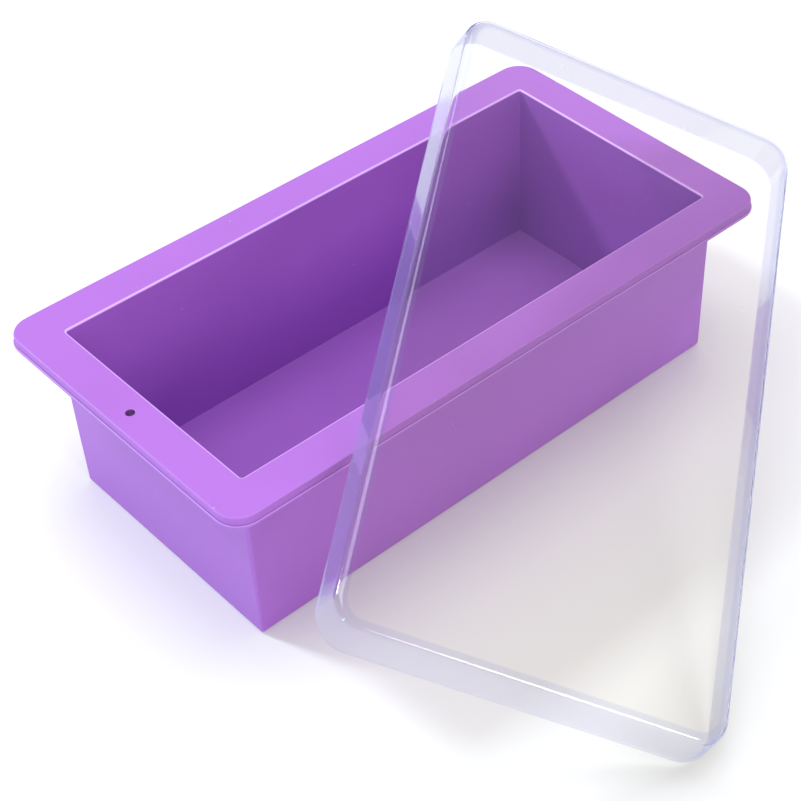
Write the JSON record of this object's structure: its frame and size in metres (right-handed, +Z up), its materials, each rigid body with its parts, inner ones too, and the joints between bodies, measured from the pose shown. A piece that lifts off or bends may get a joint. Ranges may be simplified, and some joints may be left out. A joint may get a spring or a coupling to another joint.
{
  "type": "soap loaf mould",
  "caption": "Rectangular loaf mould of flexible silicone with a wide flange and hanging hole, and a clear plastic lid that leans on its front edge.",
  "frame": {"origin": "middle of the mould's base, on the surface it stands on", "axes": "+X along the mould away from the hanging hole, +Y across it away from the leaning lid, +Z up"},
  "size_m": [0.2521, 0.2421, 0.1204],
  "materials": {
    "silicone": "satin moulded silicone",
    "clear_plastic": "clear gloss thermoformed sheet"
  },
  "bodies": {
    "mould": {"mould_body": "silicone"},
    "lid": {"lid": "clear_plastic"}
  },
  "joints": [
    {"name": "lid_lift", "type": "slide", "parent": "mould", "child": "lid", "axis": [0, 0, 1], "range_m": [0, 0.09]}
  ]
}
